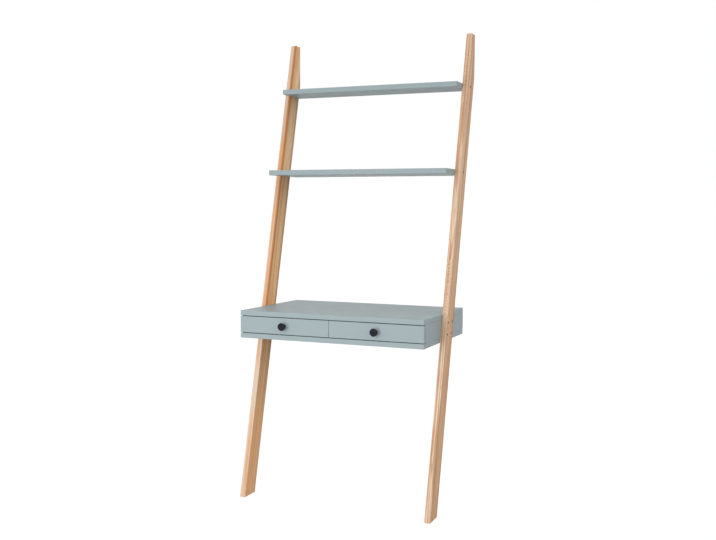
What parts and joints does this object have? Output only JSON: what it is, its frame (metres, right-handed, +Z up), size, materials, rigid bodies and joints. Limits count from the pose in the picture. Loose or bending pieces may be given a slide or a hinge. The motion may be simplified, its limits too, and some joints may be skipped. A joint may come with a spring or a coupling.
{
  "type": "ladder desk",
  "caption": "Leaning ladder desk: wooden posts rest on a wall and carry lacquered shelves and a shallow desk box with drawers on ball slides.",
  "frame": {"origin": "on the floor, at the centre of the footprint box that reaches from the knobs to the wall", "axes": "+X to the right as seen from the front, +Y towards the wall, +Z up; the drawers open towards -Y"},
  "size_m": [0.794, 0.537, 1.83],
  "materials": {
    "ash_wood": "oiled ash with open grain",
    "grey_lacquer": "satin grey-blue lacquer on fibreboard",
    "plywood": "clear-coated birch plywood",
    "beech": "plain beech",
    "black_metal": "satin black turned metal",
    "bronze_steel": "dark bronze plated steel",
    "steel": "zinc-plated steel",
    "rubber": "black rubber"
  },
  "bodies": {
    "frame": {"left_post": "ash_wood", "right_post": "ash_wood", "upper_shelf": "grey_lacquer", "middle_shelf": "grey_lacquer", "desk_top": "grey_lacquer", "desk_bottom": "grey_lacquer", "left_side_panel": "grey_lacquer", "right_side_panel": "grey_lacquer", "back_panel": "grey_lacquer", "centre_divider": "grey_lacquer", "box_dowels": "beech", "desk_bolts": "bronze_steel", "desk_inserts": "steel", "shelf_screws": "bronze_steel", "shelf_dowels": "beech", "wall_lock_screws": "bronze_steel", "left_rails": "steel", "right_rails": "steel", "rail_screws": "steel", "slide_bumpers": "rubber"},
    "left_cages": {"left_ball_cages": "steel", "left_balls": "steel"},
    "left_drawer": {"left_drawer_front": "grey_lacquer", "left_inner_front": "plywood", "left_drawer_outer_side": "plywood", "left_drawer_inner_side": "plywood", "left_drawer_back": "plywood", "left_drawer_bottom": "plywood", "left_runners": "steel", "left_runner_screws": "steel", "left_front_screws": "steel", "left_bottom_screws": "steel", "left_knob": "black_metal", "left_knob_screw": "steel"},
    "right_cages": {"right_ball_cages": "steel", "right_balls": "steel"},
    "right_drawer": {"right_drawer_front": "grey_lacquer", "right_inner_front": "plywood", "right_drawer_outer_side": "plywood", "right_drawer_inner_side": "plywood", "right_drawer_back": "plywood", "right_drawer_bottom": "plywood", "right_runners": "steel", "right_runner_screws": "steel", "right_front_screws": "steel", "right_bottom_screws": "steel", "right_knob": "black_metal", "right_knob_screw": "steel"}
  },
  "joints": [
    {"name": "left_drawer_slide", "type": "slide", "parent": "frame", "child": "left_drawer", "axis": [0, -1, 0], "range_m": [0, 0.288]},
    {"name": "left_cage_slide", "type": "slide", "parent": "frame", "child": "left_cages", "axis": [0, -1, 0], "range_m": [0, 0.144]},
    {"name": "right_drawer_slide", "type": "slide", "parent": "frame", "child": "right_drawer", "axis": [0, -1, 0], "range_m": [0, 0.288]},
    {"name": "right_cage_slide", "type": "slide", "parent": "frame", "child": "right_cages", "axis": [0, -1, 0], "range_m": [0, 0.144]}
  ],
  "couplings": [
    {"joint": "left_cage_slide", "follows": "left_drawer_slide", "ratio": 0.5},
    {"joint": "right_cage_slide", "follows": "right_drawer_slide", "ratio": 0.5}
  ]
}
